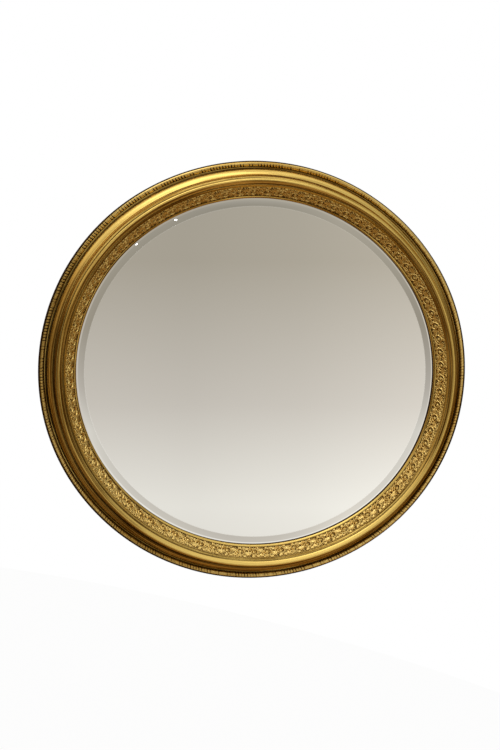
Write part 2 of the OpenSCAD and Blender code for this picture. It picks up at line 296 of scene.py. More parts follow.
front_section = (
    # The broad band and the lip at its top
    toned(bow(BAND_MID, BAND_SIZE, 150, 112, 8), 0.95)
    + [(22.0, 21.1, 0.95), (24.4, 22.3, 0.9), (24.7, 21.9, 0.6)]
    # The cove and a dark quirk, then the ovolo and the upright face behind it
    + toned(bow(COVE_MID, COVE_SIZE, -68, 0, 10), 0.75, 0.6)
    + [(27.5, 29.25, 0.1)]
    + toned(bow(OVOLO_MID, OVOLO_SIZE, 180, 90, 10), 0.85, 0.6)
    + [(31.3, 34.0, 0.05), (31.3, 38.0, 0.12), (31.3, 41.2, 0.05)]
    # The crest's bead, dark at its outer root
    + toned(bow(CREST_MID, CREST_SIZE, 205, 172, 4), 0.1, 0.6)
    + toned(bow(CREST_MID, CREST_SIZE, 160, 130, 3), 0.95)
    + toned(bow(CREST_MID, CREST_SIZE, 118, 60, 7), 1.0)
    # The smooth band that turns inwards, with a groove and a narrow strip
    + [(38.5, 44.0, 1.0), (40.4, 42.9, 0.9), (40.9, 42.0, 0.4), (42.0, 41.5, 0.4), (42.4, 41.6, 0.7)]
    + [(43.5, 40.3, 0.95), (44.614, 38.9, 0.9)]
    # The bed of the frieze, then the fillet at the glass
    + [(*BED_START, 0.5), (*BED_END, 0.05), (62.0, 17.5, 0.05)]
    + toned(bow(FILLET_MID, FILLET_SIZE, 90, 20, 8), 1.0)
    + [(65.85, 17.9, 0.1), (SIGHT, 16.6, 0.0), (SIGHT, RING_JOINT, 0.0)]
)
print("front section", len(front_section), "points")

# %% [markdown]
# ## Painted light on the gilding
# The tones paint light and shade by side: the broad band is lighter towards the upper left
# and the inner mouldings towards the lower right, the cove gets painted shade except at the
# top, and the foot of the band gets painted shade. The tones could be painted by hand, but then
# another size of oval would need new paint. Here each moulding is found by its insets, and its side by the
# angle.

# %% Zones of the section and sides of the oval
COVE_LOW, FOOT_LOW, LEDGE_HIGH = 15.0, 4.3, 4.7     # heights that part the zones
BAND_OVER, INNER_FROM = 21.0, 35.0                  # insets where the band ends and the inner part starts
FOOT, LEDGE_LIP = 13.8, 12.0                        # insets of the band's foot and the ledge's lip
CREST, STRIP, LEDGE = (30.5, 41.5), (42.2, 50), (10, 14.1)
# The cove's two zones take painted shade and, at the top, painted light; the two directions below are the
# sides where light is painted on.
COVE_SHADE, COVE_TOP_LIGHT = (20.5, 22.5, 26.2, 27.2), (22.5, 23.5, 27.1, 27.4)
UPPER_LEFT, LOWER_RIGHT = 120, -65                  # directions in degrees from the right


def fade(value, start, full):
    """0 up to start and 1 from full on, with an even slope between them."""
    return np.clip((value - start) / (full - start), 0, 1)


def hump(value, start, full, falling, end):
    """1 from full to falling, with an even slope on each side."""
    return fade(value, start, full) * fade(value, end, falling)


def between(value, ends):
    return (value > ends[0]) & (value < ends[1])


def near(angle, degrees):
    """1 on the side of the oval that lies towards a direction, and 0 from 66 degrees away."""
    return fade(np.cos(angle - math.radians(degrees)), 0.4, 0.8)


# %% Paint light and shade on a ring
def paint_light_and_shade(mesh):
    """Sets painted light and shade in the tones of a ring's mouldings, by zone and by side of the oval."""
    _, angle, inset, height = lie_of(mesh)
    tone = read_layer(mesh, "tone")
    top = fade(np.sin(angle), 0.4, 0.9)
    upper_left, lower_right = near(angle, UPPER_LEFT), near(angle, LOWER_RIGHT)
    # Painted shade darkens the cove except at the upper left and the top, and painted light brightens it at
    # the top.
    cove_shade = hump(inset, *COVE_SHADE) * (height > COVE_LOW)
    tone = tone * (1 - 0.6 * cove_shade * (1 - 0.95 * np.maximum(upper_left, top)))
    cove_top_light = hump(inset, *COVE_TOP_LIGHT) * (height > COVE_LOW)
    tone = tone + (np.maximum(tone, 0.93) - tone) * cove_top_light * top
    # Painted light and shade by side: the broad band lighter towards the upper left, the strip beside the
    # crest darker towards the lower right and the other inner mouldings lighter there.
    band = inset < BAND_OVER
    tone = tone * np.where(band, 0.82 + 0.24 * near(angle, 115), 1)
    inner_painted_light = np.where(between(inset, STRIP), 0.95 - 0.35 * lower_right, 0.82 + 0.24 * lower_right)
    tone = tone * np.where(inset > INNER_FROM, inner_painted_light, 1)
    # Painted shade at the band's foot, narrower at the upper left, painted shade on the crest at the left,
    # and painted shade on the ledge of the leaf bead, lighter at the upper left and lower right.
    foot = fade(inset, FOOT, FOOT + 1.7 - 1.2 * upper_left)
    tone = np.where(band & (height > FOOT_LOW), tone * foot, tone)
    tone = tone * np.where(between(inset, CREST), 1 - 0.15 * near(angle, 168), 1)
    ledge_shade = np.where(inset < LEDGE_LIP, 0.85, 0.14 + 0.25 * upper_left + 0.15 * near(angle, -45))
    set_tone(mesh, np.where(between(inset, LEDGE) & (height < LEDGE_HIGH), ledge_shade, tone))


# %% Run the front ring
STEPS = 96              # copies of the section in a quarter of the oval
front_rings = []
for arc, side in enumerate(SIDES):
    bm = run_section(front_section, [(arc, 90 * arc - 45, 90, STEPS)])
    cap_ends(bm)
    ring = finish_mesh("gilt_front_" + side, bm)
    note_along(ring.data)
    paint_light_and_shade(ring.data)
    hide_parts("frame_front_" + side)
    front_rings.append(ring)
print("front ring faces", sum(len(r.data.polygons) for r in front_rings))

# %% [markdown]
# ## The back ring
# Behind it lies a second ring, with its joints in the middle of the front ring's arcs, as
# bricks overlap. It holds the ledge of the leaf bead, the dark quirk, the foot of the
# broad band, and at the back the rebate for the glass and the step for the board.
# Its front is gilded and its back is bare wood, so its faces get two materials.

# %% Run the back ring
BACK_EDGE, LEDGE_H = 1.5, 4.0                           # its outer edge and the ledge's height
REBATE, BOARD_STEP, BOARD_H = 56.4, 46.4, 4.3           # where the glass and the board sit
back_section = (
    [(BACK_EDGE, 0.0, 0.1), (BACK_EDGE, LEDGE_H, 0.0), (11.0, LEDGE_H, 0.8), (11.7, LEDGE_H, 0.8),
     (12.3, LEDGE_H, 0.1), (13.7, LEDGE_H, 0.1), (14.0, 4.6, 0.1)]
    + toned(bow(BAND_MID, BAND_SIZE, 180, 150, 8), 0.9, 0.95)
    + [(REBATE, RING_JOINT, 0.2), (REBATE, BOARD_H, 0.5), (BOARD_STEP, BOARD_H, 0.5), (BOARD_STEP, 0.0, 0.5)]
)

back_rings = []
for arc, corner in enumerate(CORNERS):
    following = (arc + 1) % 4
    bm = run_section(back_section, [
        (arc, 90 * arc, 45, STEPS // 2), (following, 90 * arc + 45, 45, STEPS // 2)])
    cap_ends(bm)
    ring = finish_mesh("gilt_back_" + corner, bm)
    note_along(ring.data)
    paint_light_and_shade(ring.data)
    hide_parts("frame_back_" + corner)
    back_rings.append(ring)
print("back ring faces", sum(len(r.data.polygons) for r in back_rings))

# %% [markdown]
# ## The leaf bead
# Round the outside runs a bead of small leaves. Each one lies over the bead like a tongue,
# with a vein down its middle and a dark notch on each side of its tip.
# A fine run of the plain bead is carved in code: every vertex sinks along the bead's own
# normal by a depth that repeats with the leaves, so all of them are real relief. Two slow
# waves make some notches deeper than others, as an old casting has them.

# %% The cut of one leaf
BEAD_MID, BEAD_SIZE = (5.5, 6.1), (5.5, 4.9)
BEAD_END = 25.4         # degrees below the widest place where the bead meets its ledge
LEAVES = [106, 116, 106, 116]
LEAF_STEPS = 12
LEAF_LEAN = 0.8         # leaves that a leaf's root lies further along than its tip
HALF_LEAF = 2.75        # half a leaf's width, in mm
NOTCH, VEIN = 1.5, 0.3  # depths of the two cuts, in mm


def leaf_depth(side, v, start, bite):
    """Depth below the bead in mm. side runs 0 to 1 from vein to edge, v from outside in, cut after start."""
    reach = hump(v, start, start + 0.12, 0.84, 0.9)
    notch_width, vein_width = 0.65 + 0.7 * fade(v, 0.55, 0.8), 0.5
    notch = NOTCH * bite * np.exp(-((1 - side) * HALF_LEAF / notch_width) ** 2) * reach
    return notch + VEIN * np.exp(-(side * HALF_LEAF / vein_width) ** 2) * reach


def across_bead(x, y):
    """0 to 1 from the bead's outer foot to its inner one, for a place given in its radii."""
    turn = np.degrees(np.arctan2(y, x))
    turn = np.where(turn < -90, turn + 360, turn)
    return (180 + BEAD_END - turn) / (180 + 2 * BEAD_END)


def bead_painted_shade(angle, inset, v, depth):
    """Painted shade: dark in the cuts, at the inner foot and on the outer flank, most of all at the right and
    bottom, and darker at the upper left and lower left.
    """
    flank = np.cos(angle) ** 4 * np.where(np.cos(angle) > 0, 2.8, 1.5)
    dark = 1.5 + np.maximum(flank, 0.3 + 1.1 * near(angle, 255))
    foot = np.clip((0.96 - v) / 0.05, 0.3, 1)
    cuts = np.clip(0.97 - depth / (1.05 - 0.4 * near(angle, 155)), 0.05, 1)
    return cuts * fade(inset, dark, dark + 0.9) * foot * (1 - 0.2 * near(angle, 130) - 0.3 * near(angle, 215))


# %% Carve the leaf bead
def carve_bead(mesh, arc):
    """Cuts the leaves into a plain run of the bead."""
    along = note_along(mesh)
    arcs, angle, inset, height = lie_of(mesh)
    x, y = (inset - BEAD_MID[0]) / BEAD_SIZE[0], (height - BEAD_MID[1]) / BEAD_SIZE[1]
    v = across_bead(x, y)
    phase = along / (QUARTER[arc] / LEAVES[arc]) + LEAF_LEAN * v
    side = 1 - np.abs(2 * (phase % 1) - 1)
    bite = np.clip(0.75 + 0.4 * np.sin(phase * 1.9) + 0.35 * np.sin(phase * 0.37 + 1), 0.1, 1.2)
    bite = bite * (0.6 + 0.4 * near(angle, 145) - 0.1 * near(angle, 60))
    depth = leaf_depth(side, v, 0.34 + 0.12 * near(angle, 80), bite)
    slope = np.hypot(x / BEAD_SIZE[0], y / BEAD_SIZE[1])
    sunk = fade(np.minimum(along, QUARTER[arc] - along), 0, 0.3) * depth
    inset = inset - sunk * (x / BEAD_SIZE[0]) / slope
    height = height - sunk * (y / BEAD_SIZE[1]) / slope
    set_verts(mesh, arcs, angle, inset, height)
    # The leaf bead's tones are painted shade.
    set_tone(mesh, bead_painted_shade(angle, inset, v, depth))


bead_points = bow(BEAD_MID, BEAD_SIZE, 180 + BEAD_END, -BEAD_END, 30)
leaf_beads = []
for arc, side_name in enumerate(SIDES):
    bm = run_section(toned(bead_points, 1.0), [(arc, 90 * arc - 45, 90, LEAVES[arc] * LEAF_STEPS)])
    cap_ends(bm)
    bead = finish_mesh("leaf_bead_carved_" + side_name, bm, sharp=60)
    carve_bead(bead.data, arc)
    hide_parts("leaf_bead_" + side_name)
    leaf_beads.append(bead)
print("leaves", sum(LEAVES), "bead faces", sum(len(b.data.polygons) for b in leaf_beads))

# %% [markdown]
# ## The frieze
# The slope towards the glass carries running scrolls: a stem coils into a volute with a
# rosette in its eye, now to one side and now to the other, and leaves fan out of it.
# One repeat is drawn with rounded strokes. Its relief is read at every vertex of a fine
# run, which then rises off the slope by that much.

# %% Strokes and leaves
CELL = 50.0             # length of one repeat
BED = math.hypot(BED_END[0] - BED_START[0], BED_END[1] - BED_START[1])


def dome(gap):
    """Height of a round top at a distance from its middle, both in shares of its radius."""
    return np.sqrt(np.clip(1 - gap ** 2, 0, 1))


def stroke(u, v, points, widths, height, out):
    """A rounded ridge along a line of points, with a half width at each of them."""
    for (ax, ay), (bx, by), wa, wb in zip(points[:-1], points[1:], widths[:-1], widths[1:]):
        dx, dy = bx - ax, by - ay
        t = np.clip(((u - ax) * dx + (v - ay) * dy) / (dx * dx + dy * dy), 0, 1)
        gap = np.hypot(u - ax - t * dx, v - ay - t * dy) / (wa + (wb - wa) * t)
        out = np.maximum(out, height * dome(gap))
    return out


def leaf_line(x, y, heading, length, stops):
    return [(x + length * s * math.cos(heading), y + length * s * math.sin(heading)) for s in stops]


# %% The volute, its rosette and its leaves
EYE_V = 13.4
COIL, COIL_WIDE = 2.5 * math.pi, 1.06       # its turn, and how much wider than high it is
LOBES_END, SMALL_FROM = 4.9, 3.3            # turns where the stem's leaves end and get small
STEM_WIDTHS, STEM_RISE = (1.3, 0.95), 3.1   # half widths from end to end, and the rise
LOBE_WIDTHS, LOBE_RISE = (0.7, 1.1, 0.6), 2.5
FAN_WIDTHS, FAN_RISE = (0.55, 1.3, 0.65), 2.3
PETALS, PETAL_R, PETAL_WAVE, BOSS_AT = 5, 2.5, 0.6, 2.5
# Fans of leaves: place along and across, heading, number of leaves, length and spread.
FANS = [(-12.5, 13.0, 70, 7, 11.5, 125), (-3.0, 22.5, 40, 4, 5.5, 130), (6.0, 20.5, 60, 4, 6.0, 110),
        (-11.0, 8.0, -118, 4, 7.5, 100), (-5.5, 3.2, -130, 3, 3.6, 90), (6.5, 3.4, -50, 4, 5.5, 120)]


def coil_reach(t):
    return 9.4 - 5.2 * (t / COIL) ** 0.85


def coil_point(t, reach):
    return -reach * math.cos(t) * COIL_WIDE, EYE_V - reach * math.sin(t)


def rosette(u, v, out):
    """Five petals round a boss, in the eye of the volute."""
    r = np.hypot(u, v - EYE_V)
    reach = PETAL_R + PETAL_WAVE * np.cos(PETALS * np.arctan2(v - EYE_V, u))
    out = np.maximum(out, np.where(r < reach, 1.6 + dome(r / reach), 0))
    return np.maximum(out, np.where(r < 1.0, BOSS_AT + 0.9 * dome(r), 0))


def volute(u, v, out):
    """Half a repeat, with its arch on the side of v = 0 and u running from -12.5 to 12.5."""
    turns = np.linspace(0, COIL, 40)
    spiral = [coil_point(t, coil_reach(t)) for t in turns]
    out = stroke(u, v, spiral, np.linspace(*STEM_WIDTHS, len(turns)), STEM_RISE, out)
    for t in np.arange(0.25, LOBES_END, 0.42):
        heading = math.atan2(-math.sin(t), -math.cos(t)) + 0.75
        length = 3.9 if t < SMALL_FROM else 2.6
        lobe = leaf_line(*coil_point(t, coil_reach(t) + 0.5), heading, length, (0.0, 0.5, 0.9))
        out = stroke(u, v, lobe, LOBE_WIDTHS, LOBE_RISE, out)
    for x, y, heading, lobes, length, spread in FANS:
        for off in np.linspace(-1, 1, lobes):
            line = leaf_line(x, y, math.radians(heading + spread * off / 2),
                             length * (1 - 0.3 * abs(off)), (0.05, 0.6, 0.9))
            out = stroke(u, v, line, FAN_WIDTHS, FAN_RISE - 0.3 * abs(off), out)
    return rosette(u, v, out)


# %% Bosses and punch marks of the ground
BOSS_PITCH, BOSS_ROW = CELL / 20, CELL / 20 * 0.87
BOSS_RISE, BOSS_R = 1.25, 0.46
PUNCH_PITCH, PUNCH_LONG, PUNCH_WIDE = 3.6, 1.25, 0.6
NEAR_CIRCLE = 6.28      # the marks lie in every direction
GROUND = 0.4            # rise of the ground between the scrolls
EDGE_ROUND = 1.2        # width of the rounded edges of the frieze


def grain_bosses(u, v):
    """Small round bosses that fill the ground between the scrolls."""
    row = np.floor(v / BOSS_ROW)
    column = u / BOSS_PITCH + 0.5 * (row % 2)
    wobble = 0.25 * np.sin(row * 12.9 + np.floor(column % 20) * 78.2)
    gap = np.hypot((column % 1) - 0.5 + wobble, v / BOSS_ROW - row - 0.5)
    return BOSS_RISE * dome(gap / BOSS_R)


def scattered(row, column, by_row, by_column, swing):
    """A number from 0 to 1 for each cell that looks random but is the same in every run."""
    return np.abs(np.sin(row * by_row + column * by_column) * swing) % 1


def punched(along, v):
    """Small punch marks scattered over the whole frieze, 0 to 1."""
    row = np.floor(v / PUNCH_PITCH)
    place_along = along / PUNCH_PITCH + 0.5 * (row % 2)
    column = np.floor(place_along)
    chance = scattered(row, column, 12.9898, 78.233, 43758.5453)
    other = scattered(row, column, 39.346, 11.135, 24634.6345)
    x = (place_along - column - 0.5 - 0.5 * (chance - 0.5)) * PUNCH_PITCH
    y = (v / PUNCH_PITCH - row - 0.5 - 0.5 * (other - 0.5)) * PUNCH_PITCH
    turn = chance * NEAR_CIRCLE
    long, wide = x * np.cos(turn) + y * np.sin(turn), y * np.cos(turn) - x * np.sin(turn)
    return np.exp(-(long / PUNCH_LONG) ** 2 - (wide / PUNCH_WIDE) ** 2) * (0.5 + 0.5 * other)


def scroll_relief(u, v):
    """Rise of the carving above its bed, in mm."""
    out = np.zeros(np.shape(u))
    for shift in (-CELL, 0, CELL):
        out = volute(u - CELL / 4 - shift, v, out)
        out = volute(u - 3 * CELL / 4 - shift, BED - v, out)
    out = np.maximum(GROUND + 0.92 * out, GROUND + grain_bosses(u, v))
    return np.minimum(out, GROUND + 3.0 * np.sqrt(fade(np.minimum(v, BED - v), 0, EDGE_ROUND)))


# %% Raise the frieze
SCROLLS = [10, 11, 10, 11]
SCROLL_STEPS = 96
ACROSS = 48
BLANK = 1.5             # thickness of the strip before its relief is raised
GLUE, MARGIN = 0.06, 0.1    # the strip lies this far off its bed and inside its two ends
bed_dir = np.array([BED_END[0] - BED_START[0], BED_END[1] - BED_START[1]]) / BED
bed_out = np.array([-bed_dir[1], bed_dir[0]])


def on_bed(along, out):
    return tuple(np.array(BED_START) + bed_dir * along + bed_out * out)


def carve_frieze(mesh, arc):
    """Raises the scrolls out of a plain strip and sets their tones."""
    along = note_along(mesh)
    arcs, angle, inset, height = lie_of(mesh)
    rel = np.column_stack([inset - BED_START[0], height - BED_START[1]])
    v, rise = rel @ bed_dir, rel @ bed_out
    u = (along / (QUARTER[arc] / SCROLLS[arc]) % 1) * CELL
    marks = punched(along, v)
    relief = np.maximum(scroll_relief(u, v) - 0.8 * marks, 0.3)
    lift = np.where(rise > BLANK / 2, relief - BLANK, 0)
    set_verts(mesh, arcs, angle, inset + bed_out[0] * lift, height + bed_out[1] * lift)
    # The low ground and the punch marks get low tones, for thin wax and painted shade in the recesses.
    tone = fade(relief, 0.6, 1.8) * (1 - 0.8 * marks)
    # Towards the upper right the tones are pushed apart, as painted light on the high carving and painted
    # shade on the ground.
    tone = np.clip(tone + 0.5 * near(angle, 55) * (tone - 0.6), 0, 1)
    set_tone(mesh, np.where(v < 0.9, np.maximum(tone, 0.6), tone))


frieze_points = [on_bed(MARGIN + (BED - 2 * MARGIN) * i / ACROSS, BLANK) for i in range(ACROSS + 1)]
frieze_points += [on_bed(BED - MARGIN, GLUE), on_bed(MARGIN, GLUE)]
friezes = []
for arc, side_name in enumerate(SIDES):
    bm = run_section(toned(frieze_points, 1.0), [(arc, 90 * arc - 45, 90, SCROLLS[arc] * SCROLL_STEPS)])
    cap_ends(bm)
    frieze = finish_mesh("frieze_carved_" + side_name, bm, sharp=80)
    carve_frieze(frieze.data, arc)
    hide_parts("frieze_" + side_name)
    friezes.append(frieze)
print("scrolls", sum(SCROLLS), "frieze faces", sum(len(f.data.polygons) for f in friezes))

# %% [markdown]
# ## The bevelled plate
# The glass is flat in the middle and ground down towards its edge. The line where the
# bevel starts is a fine rounded ridge that catches the light and also gets a painted highlight.
# The rim is run like a moulding, and its two inner loops are then filled with flat faces.
# The bevel ends in a narrow flat where the frame hides its edge.

# %% Make the plate
glass_low, glass_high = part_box("mirror_glass")
GLASS_FRONT, GLASS_BACK = MID_H - glass_low.y / MM, MID_H - glass_high.y / MM
GLASS_EDGE, LIP_END, RIDGE, CORE = 57.4, SIGHT + 3.2, 80.4, 90.0
BEVEL_FALL = 2.0        # how far the bevel would fall at the plate's edge
LIP = GLASS_FRONT - BEVEL_FALL * (RIDGE - LIP_END) / (RIDGE - GLASS_EDGE)
plate_section = [
    (CORE, GLASS_BACK, 0), (GLASS_EDGE, GLASS_BACK, 0), (GLASS_EDGE, LIP, 0), (LIP_END, LIP, 0),
    (RIDGE - 0.5, GLASS_FRONT - 0.045, 0), (RIDGE, GLASS_FRONT - 0.012, 0), (RIDGE + 0.5, GLASS_FRONT, 0),
    (RIDGE + 1.2, GLASS_FRONT, 0), (CORE, GLASS_FRONT, 0)]
bm = run_section(plate_section, [(k, 90 * k - 45, 90, STEPS) for k in range(4)], closed=False)
cap_ends(bm)
inset_layer = bm.verts.layers.float.new("inset")
across_layer = bm.verts.layers.float["across"]
lengths = np.concatenate([[0], np.cumsum([math.hypot(b[0] - a[0], b[1] - a[1])
                                          for a, b in zip(plate_section, plate_section[1:])])])
for vert in bm.verts:
    vert[inset_layer] = float(np.interp(vert[across_layer] / MM, lengths, [p[0] for p in plate_section]))
plate = finish_mesh("bevelled_plate", bm, sharp=2)
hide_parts("mirror_glass")
print("plate front at height", round(GLASS_FRONT, 2), "faces", len(plate.data.polygons))

# %% [markdown]
# ## Turn buttons and their screws
# Six small plates turn on screws to hold the backboard in. Each starts as a circle, one
# half of which is moved out to make the long shape with round ends, and its edges are
# bevelled. A screw is a turned outline, and its slot is cut by sinking a strip of faces.

# %% Turn buttons
BUTTON_R, BUTTON_T, BUTTON_REACH = 6.0, 1.6, 26.0
BUTTON_INSET, BUTTON_GAP = 36.0, 0.15
BUTTONS = {"upper_right": (1, 65), "upper_left": (1, 115), "left": (2, 200),
           "lower_left": (3, 245), "lower_right": (3, 295), "right": (0, 340)}


def on_back(spot, turn):
    """Moves what was made with its top along +Z to a spot on the frame's back, facing the wall."""
    return (Matrix.Translation(spot) @ Matrix.Rotation(math.radians(turn), 4, "Y")
            @ Matrix.Rotation(math.radians(-90), 4, "X"))


def verts_of(geom):
    return [g for g in geom if isinstance(g, bmesh.types.BMVert)]


def round_edges(bm, edges, radius, segments):
    bmesh.ops.bevel(bm, geom=edges, offset=radius * MM, offset_type="OFFSET", affect="EDGES",
                    segments=segments, profile=0.5, material=-1)


def make_button():
    bm = bmesh.new()
    bmesh.ops.create_circle(bm, cap_ends=True, segments=40, radius=BUTTON_R * MM)
    outer = [v for v in bm.verts if v.co.x > 1e-6]
    bmesh.ops.translate(bm, vec=((BUTTON_REACH - BUTTON_R) * MM, 0, 0), verts=outer)
    top = bmesh.ops.extrude_face_region(bm, geom=bm.faces[:])["geom"]
    bmesh.ops.translate(bm, vec=(0, 0, BUTTON_T * MM), verts=verts_of(top))
    rims = [e for e in bm.edges if abs(e.verts[0].co.z - e.verts[1].co.z) < 1e-7]
    round_edges(bm, rims, 0.3, 2)
    return bm


buttons = []
for name, (arc, angle) in BUTTONS.items():
    bm = make_button()
    spot = place(arc, math.radians(angle), BUTTON_INSET, -BUTTON_GAP)
    bmesh.ops.transform(bm, matrix=on_back(spot, -angle - 180), verts=bm.verts)
    button = finish_mesh("button_plate_" + name, bm, body="turn_button_" + name)
    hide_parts("turn_button_" + name)
    buttons.append(button)
print("buttons", len(buttons))

# %% Slotted screws
SCREW_R, SCREW_LEN, SCREW_POINT = 1.75, 13.0, 2.0
HEAD_R, HEAD_H, HEAD_RIM = 3.5, 2.1, 0.9
SLOT_W, SLOT_DEPTH = 0.8, 0.8
FIRST_TURN, NEXT_TURN = 25, 67      # degrees of the slots, as screws never stop alike


def turn_screw(bm):
    """A solid of revolution from the dome of the head to the point."""
    dome_line = [(HEAD_R * math.sin(a), HEAD_RIM + (HEAD_H - HEAD_RIM) * math.cos(a))
                 for a in np.linspace(0, math.pi / 2, 8)]
    shank = [(HEAD_R, 0.0), (SCREW_R, 0.0), (SCREW_R, SCREW_POINT - SCREW_LEN), (0.0, -SCREW_LEN)]
    outline = dome_line + shank
    verts = [bm.verts.new((x * MM, 0, z * MM)) for x, z in outline]
    edges = [bm.edges.new(pair) for pair in zip(verts, verts[1:])]
    spin(bm, verts + edges, 2 * math.pi, 28, (0, 0, 1), (0, 0, 0), merge=True)
    bmesh.ops.remove_doubles(bm, verts=bm.verts, dist=1e-6)


def cut_slot(bm):
    """Parts a strip of faces off across the head and sinks it."""
    for side in (-1, 1):
        bmesh.ops.bisect_plane(bm, geom=bm.verts[:] + bm.edges[:] + bm.faces[:], dist=1e-7,
                               plane_co=(side * SLOT_W / 2 * MM, 0, 0), plane_no=(1, 0, 0))
    strip = [f for f in bm.faces if abs(f.calc_center_median().x) < SLOT_W / 2 * MM
             and f.calc_center_median().z > HEAD_RIM * MM]
    sunk = bmesh.ops.extrude_face_region(bm, geom=strip)["geom"]
    bmesh.ops.delete(bm, geom=[f for f in strip if f.is_valid], context="FACES")
    for vert in verts_of(sunk):
        vert.co.z = min(vert.co.z - 1e-5, (HEAD_H - SLOT_DEPTH) * MM)


def screws_piece(name, spots):
    """Screws in one piece. spots: where their heads rest, on the back."""
    whole = bmesh.new()
    for i, spot in enumerate(spots):
        bm = bmesh.new()
        turn_screw(bm)
        cut_slot(bm)
        bmesh.ops.recalc_face_normals(bm, faces=bm.faces)
        bmesh.ops.transform(bm, matrix=on_back(spot, FIRST_TURN + NEXT_TURN * i), verts=bm.verts)
        screw = bpy.data.meshes.new("screw")
        bm.to_mesh(screw)
        bm.free()
        whole.from_mesh(screw)
        bpy.data.meshes.remove(screw)
    piece = finish_mesh(name, whole, sharp=30)
    return piece


button_spots = [place(arc, math.radians(angle), BUTTON_INSET, -2 * BUTTON_GAP - BUTTON_T)
                for arc, angle in BUTTONS.values()]
button_screws = screws_piece("button_screw_set", button_spots)
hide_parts("button_screws")
print("screw faces", len(button_screws.data.polygons))

# %% [markdown]
# ## Hangers
# Each hanger is a brass strap whose upper end is rolled round the straight bar of a ring.
# One face, the strip's cross section, is pushed down to make the strap and spun about the
# bar to make the rolled knuckle, which is how the real one is bent from a flat strip.

# %% Straps
STRAP_L, STRAP_W, STRAP_T, STRAP_END = 42.0, 14.0, 1.4, 3.0
KNUCKLE_R, KNUCKLE_OUT, KNUCKLE_IN, CURL = 3.0, 2.94, 1.56, 318
HANGER_ANGLE, HANGER_INSET, SCREW_PITCH = 22.0, 26.0, 16.0
hanger = place(0, math.radians(HANGER_ANGLE), HANGER_INSET, 0)


def bar_middle(side):
    """Where the bar of a hanger's ring lies, in metres."""
    return side * hanger.x, (MID_H + KNUCKLE_R) * MM, hanger.z + STRAP_L / 2 * MM


def make_strap(side):
    x, y_bar, z = bar_middle(side)
    bm = bmesh.new()
    corners = [(sx * STRAP_W / 2 * MM + x, y_bar - r * MM, z)
               for sx, r in ((-1, KNUCKLE_OUT), (1, KNUCKLE_OUT), (1, KNUCKLE_IN), (-1, KNUCKLE_IN))]
    face = bm.faces.new([bm.verts.new(c) for c in corners])
    spin(bm, [face] + face.edges[:] + face.verts[:], math.radians(-CURL), 36, (1, 0, 0), (x, y_bar, z))
    start = [f for f in bm.faces if all(abs(v.co.z - z) < 1e-7 and v.co.y < y_bar for v in f.verts)]
    down = bmesh.ops.extrude_face_region(bm, geom=start)["geom"]
    bmesh.ops.translate(bm, vec=(0, 0, -STRAP_L * MM), verts=verts_of(down))
    bmesh.ops.delete(bm, geom=[f for f in start if f.is_valid], context="FACES_ONLY")
    ends = [e for e in bm.edges if all(v.co.z < z - (STRAP_L - 1) * MM for v in e.verts)
            and abs(e.verts[0].co.y - e.verts[1].co.y) > 1e-4]
    round_edges(bm, ends, STRAP_END, 6)
    return bm


straps = []
for side, name in ((-1, "left"), (1, "right")):
    strap = finish_mesh("strap_plate_" + name, make_strap(side), sharp=30)
    bevel = strap.modifiers.new("soft_edges", "BEVEL")
    bevel.width, bevel.segments = 0.2 * MM, 2
    bevel.limit_method, bevel.angle_limit = "ANGLE", math.radians(50)
    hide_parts("hanger_strap_" + name)
    straps.append(strap)
strap_spots = [Vector((s * hanger.x, (MID_H + STRAP_T) * MM, hanger.z + t * SCREW_PITCH / 2 * MM))
               for s in (-1, 1) for t in (-1, 1)]
hanger_screws = screws_piece("hanger_screw_set", strap_spots)
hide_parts("hanger_screws")

# %% Rings
WIRE_R, RING_R = 1.5, 10.0


def make_ring(side):
    """Half a turn of wire closed by a straight bar, with a round corner at each end."""
    x, y, z = bar_middle(side)
    bm = bmesh.new()
    circle = bmesh.ops.create_circle(bm, cap_ends=False, segments=20, radius=WIRE_R * MM,
                                     matrix=Matrix.Translation((x + RING_R * MM, y, z)))
    rim = circle["verts"] + list({e for v in circle["verts"] for e in v.link_edges})
    spin(bm, rim, math.pi, 40, OUTWARD, (x, y, z))
    cap_ends(bm)
    for end in (-1, 1):
        bmesh.ops.create_uvsphere(bm, u_segments=20, v_segments=12, radius=WIRE_R * MM,
                                  matrix=Matrix.Translation((x + end * RING_R * MM, y, z)))
    bar = Matrix.Translation((x, y, z)) @ Matrix.Rotation(math.pi / 2, 4, "Y")
    bmesh.ops.create_cone(bm, cap_ends=True, segments=20, radius1=WIRE_R * MM, radius2=WIRE_R * MM,
                          depth=2 * RING_R * MM, matrix=bar)
    return bm


rings = []
for side, name in ((-1, "left"), (1, "right")):
    ring = finish_mesh("ring_wire_" + name, make_ring(side), body="hanger_ring_" + name, sharp=50)
    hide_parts("hanger_ring_" + name)
    rings.append(ring)
print("hangers at", [round(v, 4) for v in hanger])

# %% [markdown]
# ## Wall pads
# Four soft pads keep the gilding off the wall. A pad is a short drum with rounded rims.

# %% Pads
PAD_R, PAD_T, PAD_INSET = 9.0, 6.0, 22.0
bm = bmesh.new()
for arc, angle in ((0, 45), (1, 135), (2, 225), (3, 315)):
    spot = place(arc, math.radians(angle), PAD_INSET, -PAD_T / 2)
    stand = Matrix.Translation(spot) @ Matrix.Rotation(math.radians(90), 4, "X")
    bmesh.ops.create_cone(bm, cap_ends=True, segments=48, radius1=PAD_R * MM, radius2=PAD_R * MM,
                          depth=PAD_T * MM, matrix=stand)
rims = [e for e in bm.edges if abs(e.verts[0].co.y - e.verts[1].co.y) < 1e-7]
round_edges(bm, rims, 0.9, 3)
pads = finish_mesh("pad_set", bm)
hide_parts("wall_pads")
print("pad faces", len(pads.data.polygons))

# %% [markdown]
# ## Small helpers for the finishes
# A material is a net of nodes. One helper adds a node and fills its sockets, so a finish
# reads as a list of steps, and the others do sums, blends, noises and bumps with it.


